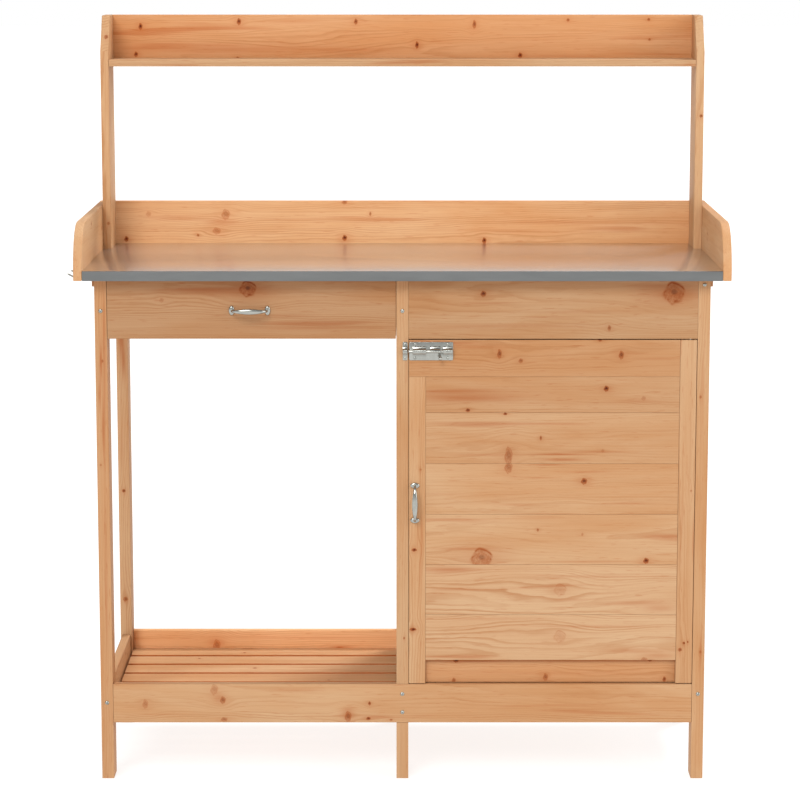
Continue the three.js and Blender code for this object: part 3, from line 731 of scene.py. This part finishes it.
def screw_head(bm, foot, axis, radius):
    """A domed head with a dimple for its recess."""
    profile = [(radius, 0)]
    for i in range(1, 7):
        angle = math.pi / 2 * i / 8
        profile.append((radius * math.cos(angle), radius * 0.55 * math.sin(angle)))
    top = profile[-1][1]
    profile += [(radius * 0.34, top * 1.02), (radius * 0.24, top * 0.55), (0, top * 0.45)]
    lathe(bm, foot, axis, profile, 24)


def sweep(bm, points, sizes, side, sides=20):
    """A bar along points: sizes gives each point's half-width along side and half-thickness across it."""
    rings = []
    for i, point in enumerate(points):
        ahead = points[min(i + 1, len(points) - 1)] - points[max(i - 1, 0)]
        normal = ahead.normalized().cross(side).normalized()
        wide, thick = sizes[i]
        ring = []
        for k in range(sides):
            angle = 2 * math.pi * k / sides
            ring.append(point + side * (wide * math.cos(angle)) + normal * (thick * math.sin(angle)))
        rings.append(ring)
    ring_loft(bm, rings)


def rounded_plate(bm, lo, hi, corner, edge):
    """A flat plate facing -y, with rounded corners and a softened front edge."""
    def outline(inset, y):
        points = []
        r = corner - inset
        for cx, cz, start in ((1, 1, 0), (0, 1, 90), (0, 0, 180), (1, 0, 270)):
            x = hi.x - corner if cx else lo.x + corner
            z = hi.z - corner if cz else lo.z + corner
            for step in range(7):
                angle = math.radians(start + 15 * step)
                points.append(Vector((x + r * math.cos(angle), y, z + r * math.sin(angle))))
        return points

    sides = [outline(0, hi.y), outline(0, lo.y + edge)]
    ring_loft(bm, sides + [outline(edge * 0.3, lo.y + edge * 0.3), outline(edge, lo.y)])


def metal_piece(name, bm, node):
    mesh = mesh_from(bm, name, STEEL, 38)
    link_piece(name, mesh, BODY_OF[node], [node])


def bow_handle(name, node):
    """A cast bow, thick in the middle, on two oval feet with a screw above and below the bow."""
    lo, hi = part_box(node)
    centre = (lo + hi) / 2
    along = Vector((1, 0, 0)) if hi.x - lo.x > hi.z - lo.z else Vector((0, 0, -1))
    side = Vector((0, 0, 1)) if along.x else Vector((1, 0, 0))
    out = Vector((0, -1, 0))
    face = Vector((centre.x, hi.y, centre.z))
    half = (max(hi.x - lo.x, hi.z - lo.z) - 10 * MM) / 2
    reach = hi.y - lo.y - 2.9 * MM
    bm = bmesh.new()
    points, sizes = [], []
    steps = 48
    for i in range(steps + 1):
        t = math.pi * i / steps
        lift = math.sin(t) ** 0.5 if 0 < t < math.pi else 0
        sideways = half * math.cos(t) * (0.97 + 0.03 * lift)
        forwards = 1.2 * MM + (reach - 1.2 * MM) * lift
        points.append(face - along * sideways + out * forwards)
        swell = math.sin(t) ** 3
        sizes.append(((2.1 + 2.9 * swell) * MM, (2.0 + 0.8 * swell) * MM))
    sweep(bm, points, sizes, side)
    for end in (-1, 1):
        foot = face + along * (half * end)
        profile = [(4.6, 0), (5.0, 0.6), (4.9, 1.7), (4.3, 2.5), (2.9, 3.1), (0, 3.3)]
        lathe(bm, foot, out, [(r * MM, h * MM) for r, h in profile], 36, 1.6, side)
        for way in (-1, 1):
            screw_head(bm, foot + side * (4.9 * MM * way) + out * 2.1 * MM, out, 1.9 * MM)
    metal_piece(name, bm, node)


BOLT_OUT = 3.8 * MM  # the rod's axis, in front of the plate
WRAPPED = -90


def bolt_band(bm, x0, x1, plate_y, centre_z, low=WRAPPED):
    """A pressed band over the rod from x0 to x1: a raised flank above and below, and a barrel between.
    low, in degrees above straight ahead, is where the barrel stops. Only a WRAPPED one has a lower flank."""
    def place(up, out):
        return plate_y - out, centre_z + up

    def arc(radius, first, last):
        steps = 14
        turns = [math.radians(first + (last - first) * i / steps) for i in range(steps + 1)]
        return [place(radius * math.sin(a), BOLT_OUT + radius * math.cos(a)) for a in turns]

    flank = [(8.4, 0), (7.6, 1.5), (6.0, 2.1), (5.2, 2.6)]
    outer = [place(up * MM, out * MM) for up, out in flank] + arc(5.0 * MM, 80, max(low, -80))
    if low == WRAPPED:
        outer += [place(-up * MM, out * MM) for up, out in flank[::-1]]
    inner = arc(3.4 * MM, low, 90) + [place(3.4 * MM, 0)]
    if low == WRAPPED:
        inner.insert(0, place(-3.4 * MM, 0))
    section = outer + inner
    middle_y = plate_y - BOLT_OUT
    ease = 0.35 * MM
    rings = []
    for x, shrink in ((x0, ease), (x0 + ease, 0), (x1 - ease, 0), (x1, ease)):
        points = []
        for index, (y, z) in enumerate(section):
            away = Vector((0, y - middle_y, z - centre_z)).normalized()
            pulled = shrink if index < len(outer) and y < plate_y else 0
            points.append(Vector((x, y, z)) - away * pulled)
        rings.append(points)
    ring_loft(bm, rings)


BOLT_PLATE = 1.5 * MM
BOLT_SCREW = 2.6 * MM  # radius of a screw's head
SCREW_AWAY = 12 * MM  # above and below the rod's axis


def bolt_line():
    """Where the plates' front face is, and the height of the rod's axis."""
    lo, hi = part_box("bolt_guide")
    return hi.y - BOLT_PLATE, (lo.z + hi.z) / 2


def bolt_screws(bm, x):
    plate_y, z = bolt_line()
    for way in (-1, 1):
        screw_head(bm, (x, plate_y, z + SCREW_AWAY * way), (0, -1, 0), BOLT_SCREW)


def bolt_housing():
    """The plate on the door, with a band at each end and a half-open one for the knob between."""
    lo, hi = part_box("bolt_guide")
    plate_y, z = bolt_line()
    bm = bmesh.new()
    rounded_plate(bm, Vector((lo.x, plate_y, lo.z)), hi, 2 * MM, 0.5 * MM)
    bolt_band(bm, lo.x + 6 * MM, lo.x + 29.3 * MM, plate_y, z)
    bolt_band(bm, lo.x + 36 * MM, lo.x + 54 * MM, plate_y, z, 30)
    bolt_band(bm, hi.x - 17.5 * MM, hi.x - 0.8 * MM, plate_y, z)
    bolt_screws(bm, lo.x + 10 * MM)
    bolt_screws(bm, hi.x - 9 * MM)
    metal_piece("bolt_housing", bm, "bolt_guide")


def bolt_staple():
    """The keeper on the middle leg."""
    lo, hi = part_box("bolt_keeper")
    plate_y, z = bolt_line()
    bm = bmesh.new()
    rounded_plate(bm, Vector((lo.x, plate_y, lo.z)), hi, 2 * MM, 0.5 * MM)
    bolt_band(bm, lo.x + 0.4 * MM, hi.x - 0.4 * MM, plate_y, z)
    bolt_screws(bm, (lo.x + hi.x) / 2)
    metal_piece("bolt_staple", bm, "bolt_keeper")


def bolt_bar():
    """The sliding rod, and its knob, which hangs down and forwards."""
    lo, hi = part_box("bolt_rod")
    plate_y, z = bolt_line()
    y = plate_y - BOLT_OUT
    bm = bmesh.new()
    r = 2.8 * MM
    length = hi.x - lo.x
    ease = 0.7 * MM
    shaft = [(r - ease, 0), (r - 0.3 * ease, 0.3 * ease), (r, ease), (r, length - ease), (r - ease, length)]
    lathe(bm, (lo.x, y, z), (1, 0, 0), shaft, 32)
    drop = math.pi / 3
    down = Vector((0, -math.cos(drop), -math.sin(drop)))
    stem = [(1.8, 1), (1.8, 10), (2.1, 10.6)]
    knob = [(2.8, 11.6), (3.1, 13), (3.0, 14.6), (2.4, 15.8), (1.4, 16.5), (0, 16.7)]
    lathe(bm, (hi.x - 6 * MM, y, z), down, [(a * MM, b * MM) for a, b in stem + knob], 28)
    metal_piece("bolt_bar", bm, "bolt_rod")


def hook_strip():
    """Three J hooks of round wire on a flat strip."""
    lo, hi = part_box("tool_hooks")
    wire = 1.5 * MM
    thick, tall = 2.5 * MM, 18 * MM
    first, pitch = 12 * MM, 50 * MM
    bm = bmesh.new()
    bmesh.ops.create_cube(bm, size=1.0)
    size = Vector((thick, hi.y - lo.y, tall))
    bmesh.ops.scale(bm, vec=size, verts=bm.verts)
    bmesh.ops.translate(bm, vec=(hi.x - size.x / 2, (lo.y + hi.y) / 2, hi.z - size.z / 2), verts=bm.verts)
    bevel_all(bm, 0.6 * MM, 2)
    face = hi.x - thick
    low = lo.z + wire
    bend = 5 * MM
    shank = face - wire * 0.6
    for i in range(3):
        y = lo.y + first + pitch * i
        start = Vector((shank, y, hi.z - 14 * MM))
        points = [start.lerp(Vector((shank, y, low + bend)), k / 6) for k in range(6)]
        for k in range(13):
            angle = math.radians(116 * k / 12)
            in_bend = Vector((bend * math.cos(angle) - bend, 0, bend - bend * math.sin(angle)))
            points.append(Vector((shank, y, low)) + in_bend)
        last = points[-1]
        tip = Vector((lo.x + 1.6 * MM, y, low + 8 * MM))
        points += [last.lerp(tip, k / 6) for k in range(1, 7)]
        sizes = [(wire, wire)] * (len(points) - 1) + [(wire * 0.6, wire * 0.6)]
        sweep(bm, points, sizes, Vector((0, 1, 0)), 16)
    for y in (lo.y + 5 * MM, (lo.y + hi.y + pitch) / 2, hi.y - 5 * MM):
        screw_head(bm, (face, y, hi.z - 9 * MM), (-1, 0, 0), 2.6 * MM)
    metal_piece("hook_rail", bm, "tool_hooks")


def worktop_facing():
    """The metal sheet, with its fold softened; the turned-down front edge is duller and painted darker as
    shade.
    """
    bm = cad_mesh("worktop_sheet", Matrix.Identity(4))
    lo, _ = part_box("worktop_sheet")
    bevel_all(bm, 0.15 * MM, 2)
    mesh = mesh_from(bm, "worktop_facing", ZINC, 50)
    mesh.materials.append(SHADED_ZINC_EDGE)
    for face in mesh.polygons:
        if face.normal.z < 0.999 and face.center.y < lo.y + 2 * MM:
            face.material_index = 1
    link_piece("worktop_facing", mesh, BODY_OF["worktop_sheet"], ["worktop_sheet"])


# Screw heads on the front of the legs, as (mm from the bench's middle, mm above the ground).
LEG_SCREWS = [(-521.5, 836), (0, 836), (0, 154), (0, 121), (-521.5, 138), (521.5, 154), (521.5, 882)]
LEG_SCREW = 3.6 * MM  # radius of a head


def leg_screws():
    bm = bmesh.new()
    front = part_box("leg_front_left")[0].y
    for x, z in LEG_SCREWS:
        screw_head(bm, (middle("leg_front_middle").x + x * MM, front, z * MM), (0, -1, 0), LEG_SCREW)
    link_piece("leg_screws", mesh_from(bm, "leg_screws", STEEL, 38), "frame")


def make_metal():
    NODES["door_pivot_rod"].material_slots[0].material = STEEL
    worktop_facing()
    bow_handle("drawer_pull", "drawer_handle")
    bow_handle("door_pull", "door_handle")
    bolt_housing()
    bolt_staple()
    bolt_bar()
    hook_strip()
    leg_screws()


make_camera()
make_studio()
make_boards()
make_metal()
